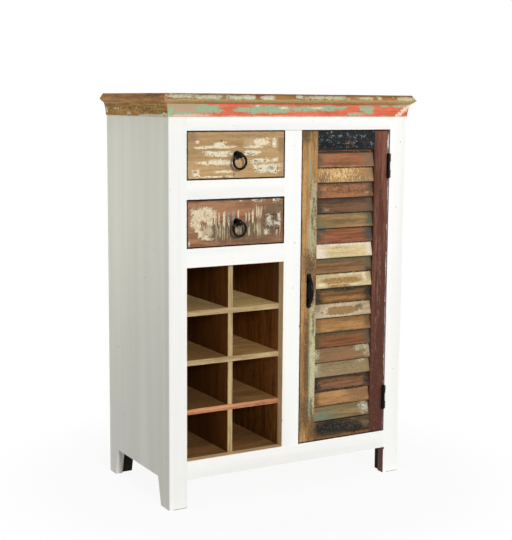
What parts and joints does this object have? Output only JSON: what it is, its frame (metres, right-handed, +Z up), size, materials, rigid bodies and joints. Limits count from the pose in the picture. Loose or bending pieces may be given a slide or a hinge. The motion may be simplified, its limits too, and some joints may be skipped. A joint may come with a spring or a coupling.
{
  "type": "highboard",
  "caption": "White-painted highboard with a reclaimed-wood moulded top, ring-pull drawers over a bottle rack and a louvred door on butt hinges.",
  "frame": {"origin": "on the floor under the middle of the whole cabinet's box", "axes": "+X to the right along the front, +Y to the back, +Z up"},
  "size_m": [0.7978, 0.432, 1.112],
  "materials": {
    "white_paint": "white satin paint over boards, a little rubbed at the arrises",
    "moulding_wood": "reclaimed boards with worn coral, mint and cream paint",
    "inner_wood": "oiled brown wood",
    "rack_wood": "oiled brown wood with pale front edges",
    "upper_front_wood": "tan reclaimed board with worn cream paint",
    "lower_front_wood": "red-brown reclaimed board with worn cream paint",
    "drawer_wood": "plain planed wood",
    "door_wood": "reclaimed boards with worn paint",
    "slat_wood": "reclaimed slats, each with its own worn paint",
    "black_iron": "black lacquered iron"
  },
  "bodies": {
    "carcass": {"left_stile": "white_paint", "right_stile": "white_paint", "mid_stile": "white_paint", "top_rail": "white_paint", "bottom_rail": "white_paint", "upper_drawer_rail": "white_paint", "lower_drawer_rail": "white_paint", "left_side": "white_paint", "right_side": "white_paint", "back_panel": "inner_wood", "bottom_board": "inner_wood", "leg_blocks": "inner_wood", "left_lining": "inner_wood", "partition": "inner_wood", "rack_top": "inner_wood", "rack_divider": "rack_wood", "rack_shelf_1": "rack_wood", "rack_shelf_2": "rack_wood", "rack_shelf_3": "rack_wood", "drawer_runners": "inner_wood", "cupboard_shelf": "inner_wood", "shelf_battens": "inner_wood", "crown_front": "moulding_wood", "crown_left": "moulding_wood", "crown_right": "moulding_wood", "crown_back": "moulding_wood", "front_nosing": "moulding_wood", "left_nosing": "moulding_wood", "right_nosing": "moulding_wood", "top_plank_1": "moulding_wood", "top_plank_2": "moulding_wood", "top_plank_3": "moulding_wood", "upper_hinge_frame_leaf": "black_iron", "lower_hinge_frame_leaf": "black_iron", "hinge_pins": "black_iron", "door_catch": "black_iron"},
    "upper_drawer": {"upper_drawer_front": "upper_front_wood", "upper_drawer_left_side": "drawer_wood", "upper_drawer_right_side": "drawer_wood", "upper_drawer_back": "drawer_wood", "upper_drawer_bottom": "drawer_wood", "upper_pull_post": "black_iron"},
    "upper_ring": {"upper_pull_ring": "black_iron"},
    "lower_drawer": {"lower_drawer_front": "lower_front_wood", "lower_drawer_left_side": "drawer_wood", "lower_drawer_right_side": "drawer_wood", "lower_drawer_back": "drawer_wood", "lower_drawer_bottom": "drawer_wood", "lower_pull_post": "black_iron"},
    "lower_ring": {"lower_pull_ring": "black_iron"},
    "door": {"door_left_stile": "door_wood", "door_right_stile": "door_wood", "door_top_rail": "door_wood", "door_bottom_rail": "door_wood", "door_slats": "slat_wood", "door_handle": "black_iron", "upper_hinge_door_leaf": "black_iron", "lower_hinge_door_leaf": "black_iron", "strike_plate": "black_iron"}
  },
  "joints": [
    {"name": "door_hinge", "type": "hinge", "parent": "carcass", "child": "door", "pos_m": [0.3172, -0.1951, 0.5725], "axis": [0, 0, 1], "range_deg": [0, 165]},
    {"name": "upper_drawer_slide", "type": "slide", "parent": "carcass", "child": "upper_drawer", "axis": [0, -1, 0], "range_m": [0, 0.27]},
    {"name": "upper_ring_swing", "type": "hinge", "parent": "upper_drawer", "child": "upper_ring", "pos_m": [-0.176, -0.2074, 0.951], "axis": [-1, 0, 0], "range_deg": [-22, 120]},
    {"name": "lower_drawer_slide", "type": "slide", "parent": "carcass", "child": "lower_drawer", "axis": [0, -1, 0], "range_m": [0, 0.27]},
    {"name": "lower_ring_swing", "type": "hinge", "parent": "lower_drawer", "child": "lower_ring", "pos_m": [-0.176, -0.2074, 0.7715], "axis": [-1, 0, 0], "range_deg": [-22, 120]}
  ]
}
